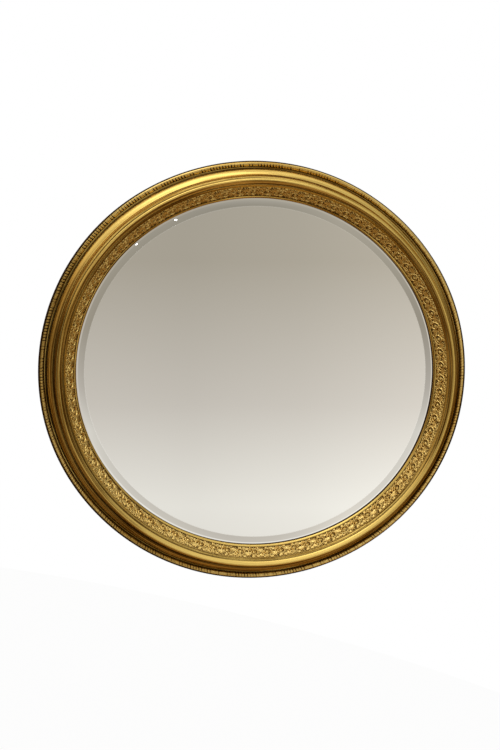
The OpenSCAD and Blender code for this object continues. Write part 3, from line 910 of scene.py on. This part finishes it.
# %% Node helpers
def fill(tree, node, sockets):
    """Sets a node's sockets by name or number, to a value or with a link from another socket."""
    for key, value in sockets.items():
        if isinstance(value, bpy.types.NodeSocket):
            tree.links.new(value, node.inputs[key])
        else:
            node.inputs[key].default_value = value


def add(tree, kind, inputs=None, **settings):
    new = tree.nodes.new(kind)
    for key, value in settings.items():
        setattr(new, key, value)
    fill(tree, new, inputs or {})
    return new


def calc(tree, operation, *values, clamp=False):
    math_node = add(tree, "ShaderNodeMath", dict(enumerate(values)), operation=operation, use_clamp=clamp)
    return math_node.outputs[0]


def plus(tree, a, b):
    return calc(tree, "ADD", a, b)


def minus(tree, a, b):
    return calc(tree, "SUBTRACT", a, b)


def times(tree, a, b, clamp=False):
    return calc(tree, "MULTIPLY", a, b, clamp=clamp)


# %% More node helpers
def remap(tree, value, low, high, to_low=0.0, to_high=1.0):
    sockets = {"Value": value, "From Min": low, "From Max": high, "To Min": to_low, "To Max": to_high}
    return add(tree, "ShaderNodeMapRange", sockets).outputs[0]


def blend(tree, amount, a, b, mode="MIX"):
    mix = add(tree, "ShaderNodeMix", {0: amount, 6: a, 7: b}, data_type="RGBA", blend_type=mode)
    return mix.outputs[2]


def clouds(tree, vector, scale, detail=3.0, roughness=0.55):
    sockets = {"Vector": vector, "Scale": scale, "Detail": detail, "Roughness": roughness}
    return add(tree, "ShaderNodeTexNoise", sockets).outputs["Fac"]


def stretched(tree, x, y, across_x, across_y):
    """A flat vector whose two parts are stretched by different amounts."""
    parts = {0: times(tree, x, across_x), 1: times(tree, y, across_y)}
    return add(tree, "ShaderNodeCombineXYZ", parts).outputs[0]


def attribute(tree, name):
    return add(tree, "ShaderNodeAttribute", attribute_name=name).outputs["Fac"]


def place_on(tree):
    """The place on the object itself, which stays with it when it moves."""
    return add(tree, "ShaderNodeTexCoord").outputs["Object"]


def bump(tree, height, strength, distance):
    sockets = {"Height": height, "Strength": strength, "Distance": distance}
    return add(tree, "ShaderNodeBump", sockets).outputs[0]


def new_group(name, inputs, outputs):
    group = bpy.data.node_groups.new(name, "ShaderNodeTree")
    for label, kind, value in inputs:
        socket = group.interface.new_socket(label, in_out="INPUT", socket_type=kind)
        socket.default_value = value
    for label, kind in outputs:
        group.interface.new_socket(label, in_out="OUTPUT", socket_type=kind)
    return group, add(group, "NodeGroupInput").outputs


def use_group(tree, group, values):
    return add(tree, "ShaderNodeGroup", values, node_tree=group).outputs


COLOUR, NUMBER = "NodeSocketColor", "NodeSocketFloat"

# %% [markdown]
# ## Gilding
# Gold leaf over red clay isn't one colour. Burnishing leaves fine lines along the run,
# rubbing lets the clay show, and dark wax stays in every hollow.
# The tone of each vertex says how deep it lies and carries painted light and shade, and two
# stretched noises along the run draw the lines. The smooth mouldings and the ornament share this group.

# %% The gilding group
gilding, g_in = new_group(
    "gilding",
    [("Tone", NUMBER, 1.0), ("Lines", NUMBER, 1.0), ("Rub", NUMBER, 0.3),
     ("Light leaf", COLOUR, (0.93, 0.65, 0.18, 1)), ("Deep leaf", COLOUR, (0.52, 0.27, 0.04, 1)),
     ("Clay", COLOUR, (0.26, 0.10, 0.03, 1)), ("Wax and shade", COLOUR, (0.03, 0.014, 0.004, 1))],
    [("Colour", COLOUR), ("Roughness", NUMBER), ("Metal", NUMBER), ("Height", NUMBER)])
along, across = attribute(gilding, "along"), attribute(gilding, "across")
spot = place_on(gilding)
fine = clouds(gilding, stretched(gilding, along, across, 7, 900), 1.0, 2)
broad = clouds(gilding, stretched(gilding, along, across, 3, 260), 1.0, 2)
patch = clouds(gilding, spot, 16, 3)
grime = clouds(gilding, spot, 240, 2)
matt = remap(gilding, g_in["Tone"], 0.82, 1.0, 1.0, 0.25)

# Lines of light and deep leaf, which are weak where the gilding is burnished
lines = times(gilding, minus(gilding, plus(gilding, fine, broad), 1.0), g_in["Lines"])
lines = times(gilding, lines, matt)
share = plus(gilding, times(gilding, lines, 7.0), minus(gilding, patch, matt))
leaf = blend(gilding, calc(gilding, "ADD", share, 0.95, clamp=True), g_in["Deep leaf"], g_in["Light leaf"])

# Wax in the deepest lines, and clay where the leaf is rubbed through
cut = times(gilding, remap(gilding, fine, 0.42, 0.36), times(gilding, matt, g_in["Lines"]))
leaf = blend(gilding, times(gilding, cut, 0.75, clamp=True), leaf, g_in["Wax and shade"])
rubbed = remap(gilding, plus(gilding, fine, times(gilding, patch, 0.35)), 0.50, 0.40)
leaf = blend(gilding, times(gilding, rubbed, g_in["Rub"], clamp=True), leaf, g_in["Clay"])

# Wax colour where the tone is low, for wax in the hollows and for painted shade, and these places are rougher
# and less of a metal
depth = plus(gilding, g_in["Tone"], times(gilding, minus(gilding, grime, 0.5), 0.35))
clean_and_lit = remap(gilding, depth, 0.08, 0.72)
leaf = blend(gilding, clean_and_lit, g_in["Wax and shade"], leaf)
rough = plus(gilding, remap(gilding, broad, 0.3, 0.7, 0.24, 0.36), remap(gilding, clean_and_lit, 0.0, 1.0, 0.25, 0.0))
height = plus(gilding, times(gilding, lines, 0.5), times(gilding, grime, 0.2))
metal = remap(gilding, clean_and_lit, 0.0, 0.5, 0.4, 0.97)
add(gilding, "NodeGroupOutput", {"Colour": leaf, "Roughness": rough, "Metal": metal, "Height": height})
print("gilding group nodes", len(gilding.nodes))


# %% Gilded materials
def new_material(name):
    material = bpy.data.materials.new(name)
    material.use_nodes = True
    tree = material.node_tree
    tree.nodes.clear()
    shader = add(tree, "ShaderNodeBsdfPrincipled")
    add(tree, "ShaderNodeOutputMaterial", {"Surface": shader.outputs[0]})
    return material, tree, shader


def gilt(name, lines, rub, bump_strength, wax_and_shade, light, deep):
    material, tree, shader = new_material(name)
    out = use_group(tree, gilding, {"Tone": attribute(tree, "tone"), "Lines": lines, "Rub": rub,
                                     "Wax and shade": wax_and_shade, "Light leaf": light, "Deep leaf": deep})
    normal = bump(tree, out["Height"], bump_strength, 0.0004)
    fill(tree, shader, {"Base Color": out["Colour"], "Roughness": out["Roughness"],
                        "Metallic": out["Metal"], "Normal": normal,
                        "Specular IOR Level": 0.2, "Specular Tint": (0.55, 0.38, 0.18, 1)})
    return material


# Dark colours for wax and for painted shade in the hollows and on the shaded sides of the oval.
DARK_WAX_AND_SHADE, THIN_WAX_AND_SHADE = (0.03, 0.013, 0.003, 1), (0.07, 0.034, 0.008, 1)
gilt_moulding = gilt("gilt_moulding", 1.0, 0.15, 0.35, DARK_WAX_AND_SHADE,
                     light=(0.93, 0.65, 0.18, 1), deep=(0.30, 0.155, 0.023, 1))
gilt_bead = gilt("gilt_bead", 0.6, 0.2, 0.25, DARK_WAX_AND_SHADE,
                 light=(0.98, 0.71, 0.24, 1), deep=(0.66, 0.40, 0.09, 1))
gilt_frieze = gilt("gilt_frieze", 0.35, 0.1, 0.25, THIN_WAX_AND_SHADE,
                   light=(0.98, 0.72, 0.25, 1), deep=(0.80, 0.50, 0.12, 1))

# %% [markdown]
# ## Wood
# The back of the frame is bare pine gone brown, and the board is thin plywood. Grain is a
# noise stretched hard along the wood, so one group serves both, each with its colours.

# %% The wood group
wood_grain, w_in = new_group(
    "wood_grain",
    [("Light", COLOUR, (0.5, 0.33, 0.17, 1)), ("Dark", COLOUR, (0.25, 0.14, 0.06, 1)),
     ("Run", NUMBER, 0.0), ("Width", NUMBER, 0.0)],
    [("Colour", COLOUR), ("Height", NUMBER)])
grain = clouds(wood_grain, stretched(wood_grain, w_in["Run"], w_in["Width"], 9, 260), 1.0, 4)
fibre = clouds(wood_grain, stretched(wood_grain, w_in["Run"], w_in["Width"], 40, 2600), 1.0, 2)
stain = clouds(wood_grain, place_on(wood_grain), 7, 3)
figure = plus(wood_grain, times(wood_grain, grain, 0.7), times(wood_grain, fibre, 0.3))
wood = blend(wood_grain, remap(wood_grain, figure, 0.38, 0.62), w_in["Dark"], w_in["Light"])
wood = blend(wood_grain, remap(wood_grain, stain, 0.45, 0.75, 0.0, 0.5), wood, w_in["Dark"])
add(wood_grain, "NodeGroupOutput", {"Colour": wood, "Height": figure})


def wood_material(name, light, dark, run, width, roughness):
    """run and width: names of attributes, or the letters of two Object axes."""
    material, tree, shader = new_material(name)
    if len(run) == 1:
        parts = add(tree, "ShaderNodeSeparateXYZ", {0: place_on(tree)}).outputs
        run_value, width_value = parts[run], parts[width]
    else:
        run_value, width_value = attribute(tree, run), attribute(tree, width)
    out = use_group(tree, wood_grain, {"Light": light, "Dark": dark, "Run": run_value, "Width": width_value})
    normal = bump(tree, out["Height"], 0.25, 0.0006)
    fill(tree, shader, {"Base Color": out["Colour"], "Roughness": roughness, "Normal": normal})
    return material


bare_pine = wood_material("bare_pine", (0.46, 0.30, 0.16, 1), (0.24, 0.14, 0.065, 1), "along", "across", 0.72)
block_pine = wood_material("block_pine", (0.56, 0.39, 0.22, 1), (0.36, 0.23, 0.11, 1), "X", "Z", 0.75)
beech = wood_material("beech", (0.58, 0.38, 0.22, 1), (0.42, 0.26, 0.14, 1), "Z", "X", 0.6)
plywood = wood_material("plywood", (0.47, 0.31, 0.17, 1), (0.30, 0.19, 0.10, 1), "Z", "X", 0.7)

# %% [markdown]
# ## Hardware, pads and silvering
# Old plated metal is dull: its colour drifts in soft clouds, and small spots are rougher.
# The plates, the brass and the screws share that group. Rubber is a fine matt grain, and
# the silver is covered by grey paint on its back.

# %% The dull metal group
dull_metal, d_in = new_group(
    "dull_metal",
    [("Plate", COLOUR, (0.6, 0.6, 0.58, 1)), ("Tarnish", COLOUR, (0.3, 0.29, 0.26, 1)),
     ("Spots", NUMBER, 300.0)],
    [("Colour", COLOUR), ("Roughness", NUMBER), ("Height", NUMBER)])
spot = place_on(dull_metal)
drift, specks = clouds(dull_metal, spot, 60, 3), clouds(dull_metal, spot, d_in["Spots"], 2)
worn = remap(dull_metal, plus(dull_metal, drift, times(dull_metal, specks, 0.5)), 0.62, 0.95)
add(dull_metal, "NodeGroupOutput", {
    "Colour": blend(dull_metal, worn, d_in["Plate"], d_in["Tarnish"]),
    "Roughness": remap(dull_metal, drift, 0.3, 0.7, 0.30, 0.52), "Height": specks})


def metal_material(name, plate_colour, tarnish, spots):
    material, tree, shader = new_material(name)
    out = use_group(tree, dull_metal, {"Plate": plate_colour, "Tarnish": tarnish, "Spots": spots})
    fill(tree, shader, {"Base Color": out["Colour"], "Roughness": out["Roughness"], "Metallic": 1.0,
                        "Normal": bump(tree, out["Height"], 0.12, 0.0002)})
    return material


zinc = metal_material("zinc_plate", (0.56, 0.56, 0.54, 1), (0.30, 0.29, 0.27, 1), 320.0)
brass = metal_material("brass_plate", (0.74, 0.53, 0.24, 1), (0.36, 0.22, 0.09, 1), 280.0)
screw_steel = metal_material("screw_steel", (0.62, 0.61, 0.58, 1), (0.26, 0.23, 0.19, 1), 400.0)


# %% Rubber and paint
def matt_material(name, light, dark, scale, roughness):
    material, tree, shader = new_material(name)
    mottle = clouds(tree, place_on(tree), scale, 3)
    fill(tree, shader, {"Base Color": blend(tree, remap(tree, mottle, 0.35, 0.65), dark, light),
                        "Roughness": roughness, "Normal": bump(tree, mottle, 0.3, 0.0004)})
    return material


pad_rubber = matt_material("pad_rubber", (0.035, 0.034, 0.033, 1), (0.015, 0.015, 0.015, 1), 700, 0.8)
back_paint = matt_material("back_paint", (0.30, 0.31, 0.32, 1), (0.22, 0.23, 0.24, 1), 120, 0.55)

# %% [markdown]
# ## The silvered plate
# A mirror shows the room, so its own finish is nearly nothing: silver seen through glass.
# The bevel is painted darker than the middle, as painted shade in its reflection, and its
# ridge and the line at the frame get painted highlights. Its own inset number places these bands.

# %% Mirror material
mirror_finish, tree, shader = new_material("silvered_glass")
inset = attribute(tree, "inset")
# Painted highlights: the ridge and the lip at the frame are painted white. Painted shade: the bevel is
# painted darker than the middle.
ridge = remap(tree, calc(tree, "ABSOLUTE", minus(tree, inset, RIDGE)), 1.0, 0.5)
lip_highlight = remap(tree, inset, LIP_END + 0.2, LIP_END - 0.2)
on_bevel = remap(tree, inset, RIDGE, RIDGE - 0.4)
bevel_painted_shade = blend(tree, remap(tree, inset, LIP_END, RIDGE), (0.88, 0.875, 0.86, 1), (0.80, 0.79, 0.77, 1))
silver = blend(tree, on_bevel, (0.96, 0.96, 0.955, 1), bevel_painted_shade)
silver = blend(tree, calc(tree, "MAXIMUM", ridge, lip_highlight), silver, (1.0, 1.0, 1.0, 1))
haze = clouds(tree, place_on(tree), 5, 2)
rough = plus(tree, remap(tree, haze, 0.3, 0.7, 0.006, 0.014), times(tree, ridge, 0.15))
fill(tree, shader, {"Base Color": silver, "Roughness": rough, "Metallic": 1.0})

# %% Put the finishes on
GILT_REACH = 0.93       # share of the half widths from which the back ring's front is gilded


def coat(piece, *materials):
    piece.data.materials.clear()
    for material in materials:
        piece.data.materials.append(material)


finishes = [(front_rings, gilt_moulding), (leaf_beads, gilt_bead), (friezes, gilt_frieze),
            ([plate], mirror_finish), (buttons, zinc), (straps + rings, brass),
            ([button_screws, hanger_screws], screw_steel), ([pads], pad_rubber)]
for node_name, material in (("silvering", back_paint), ("glazing_blocks", block_pine),
                            ("joint_dowels", beech), ("backboard", plywood)):
    finishes.append(([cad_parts[node_name]], material))
for pieces, material in finishes:
    for piece in pieces:
        coat(piece, material)
for ring in back_rings:
    coat(ring, gilt_moulding, bare_pine)
    for face in ring.data.polygons:
        x, z = abs(face.center.x) / (HALF_W * MM), abs(face.center.z) / (HALF_H * MM)
        bare = math.hypot(x, z) < GILT_REACH or face.normal.y > 0.7
        face.material_index = 1 if bare else 0

# %% [markdown]
# ## Room and lamps
# A mirror is lit by what it faces. The world is a plain studio: bright overhead, dim
# below, with a pale stretch low in front that the glass shows at its foot. Its sides are
# warm and its back is paler, which is what the turned flanks of the gilding show.
# The camera itself sees plain white behind the mirror.

# %% The world
world = bpy.data.worlds.new("studio")
bpy.context.scene.world = world
world.use_nodes = True
sky = world.node_tree
sky.nodes.clear()
parts = add(sky, "ShaderNodeSeparateXYZ", {0: add(sky, "ShaderNodeTexCoord").outputs["Generated"]}).outputs
x, y, z = parts["X"], parts["Y"], parts["Z"]
WHITE = (1.0, 1.0, 1.0, 1)
WARM_SIDE = (1.0, 0.69, 0.38, 1)
MID_X, MID_Z = 0.223, -0.078            # the direction that the middle of the glass shows
RISE = (0.949, 0.219)                   # how much of up and of left the picture's up is
SHIFT = (0.974, 0.225)                  # how much of right and of up the picture's right is


def ramp(tree, value, stops):
    """A colour ramp over -1 to 1. stops: (value, (red, green, blue)) or (value, grey)."""
    node = add(tree, "ShaderNodeValToRGB", {0: remap(tree, value, -1.0, 1.0)})
    elements = node.color_ramp.elements
    while len(elements) < len(stops):
        elements.new(0.5)
    for element, (spot, colour) in zip(elements, stops):
        element.position = (spot + 1) / 2
        element.color = (*colour, 1) if isinstance(colour, tuple) else (colour, colour, colour, 1)
    return node.outputs[0]


dx, dz = minus(sky, x, MID_X), minus(sky, z, MID_Z)
rise = plus(sky, minus(sky, times(sky, dz, RISE[0]), times(sky, dx, RISE[1])), MID_Z)
shift = plus(sky, times(sky, dx, SHIFT[0]), times(sky, dz, SHIFT[1]))

# %% Colours of the room
room = ramp(sky, rise, [
    (-1.0, (0.24, 0.19, 0.13)), (-0.75, (0.30, 0.25, 0.18)), (-0.45, (0.52, 0.48, 0.42)),
    (-0.17, (0.83, 0.81, 0.75)), (-0.1, (0.59, 0.555, 0.50)), (0.0, (0.41, 0.375, 0.31)),
    (0.1, (0.40, 0.37, 0.305)), (0.19, (0.365, 0.34, 0.285)), (0.28, (0.66, 0.64, 0.58)),
    (0.4, (0.88, 0.87, 0.83)), (1.0, (0.92, 0.92, 0.90))])
level = ramp(sky, shift, [
    (-1.0, 0.44), (-0.6, 0.5), (-0.3, 0.9), (-0.14, 1.0), (-0.05, 0.96), (0.03, 1.04),
    (0.13, 1.24), (0.3, 0.77), (0.6, 0.32), (1.0, 0.25)])
high = ramp(sky, shift, [(-1.0, 0.95), (-0.45, 0.88), (0.0, 1.0), (0.3, 0.85), (0.6, 0.45), (1.0, 0.3)])
level = blend(sky, remap(sky, z, 0.15, 0.4), level, high)
room = blend(sky, 1.0, room, level, "MULTIPLY")
aside = times(sky, remap(sky, y, -0.85, -0.5), remap(sky, z, 0.5, 0.2))
room = blend(sky, aside, room, WARM_SIDE, "MULTIPLY")
behind = times(sky, remap(sky, y, 0.3, 0.85, 0.0, 0.4), remap(sky, z, -0.6, -0.1))
room = blend(sky, behind, room, WHITE)
seen = add(sky, "ShaderNodeLightPath").outputs["Is Camera Ray"]
shown = blend(sky, seen, room, WHITE)
background = add(sky, "ShaderNodeBackground", {"Color": shown, "Strength": 1.0})
add(sky, "ShaderNodeOutputWorld", {"Surface": background.outputs[0]})


# %% Lamps
def lamp(name, spot, size, power, aim=(0, 0, 0)):
    data = bpy.data.lights.new(name, "AREA")
    data.shape, data.size, data.size_y, data.energy = "RECTANGLE", size[0], size[1], power
    thing = bpy.data.objects.new(name, data)
    thing.location = spot
    thing.rotation_euler = (Vector(aim) - Vector(spot)).to_track_quat("-Z", "Y").to_euler()
    bpy.context.scene.collection.objects.link(thing)
    return thing


GLINT_SIZE, GLINT_POWER = (0.014, 0.008), 0.003     # two small lamps that glint in the bevel
lamps = [lamp("over", (-0.9, -0.9, 1.9), (1.8, 1.2), 8)]
for name, spot, aim in (("glint_low", (-0.309, -1.985, 0.368), (-0.264, 0.0055, 0.183)),
                        ("glint_high", (-0.135, -1.972, 0.529), (-0.202, 0.0055, 0.236))):
    lamps.append(lamp(name, spot, GLINT_SIZE, GLINT_POWER, aim))
print("lamps", [made.name for made in lamps])

# %% [markdown]
# ## The floor
# The mirror hangs well above a plain pale floor. The floor keeps the shadow that falls on
# it, is white to the camera, and stays out of the glass.

# %% Floor
FLOOR_R, FLOOR_Z = 2.2, -1.0
SEEN_WHITE = 0.95       # share of the floor's colour that the camera sees as plain white
bm = bmesh.new()
bmesh.ops.create_circle(bm, cap_ends=True, segments=96, radius=FLOOR_R,
                        matrix=Matrix.Translation((0, 0, FLOOR_Z)))
floor_mesh = bpy.data.meshes.new("floor")
bm.to_mesh(floor_mesh)
bm.free()
floor = bpy.data.objects.new("floor", floor_mesh)
bpy.context.scene.collection.objects.link(floor)
floor.visible_glossy = False
pale, tree, shader = new_material("pale_floor")
fill(tree, shader, {"Base Color": (0.8, 0.8, 0.8, 1), "Roughness": 0.9})
white = add(tree, "ShaderNodeEmission", {"Color": (1, 1, 1, 1), "Strength": 1.0})
seen = times(tree, add(tree, "ShaderNodeLightPath").outputs["Is Camera Ray"], SEEN_WHITE)
mixed = add(tree, "ShaderNodeMixShader", {0: seen, 1: shader.outputs[0], 2: white.outputs[0]})
output = next(n for n in tree.nodes if n.type == "OUTPUT_MATERIAL")
fill(tree, output, {"Surface": mixed.outputs[0]})
coat(floor, pale)

# %% [markdown]
# ## The colour of the picture
# The picture uses plain sRGB values.

# %% Finish
bpy.context.scene.view_settings.view_transform = "Standard"
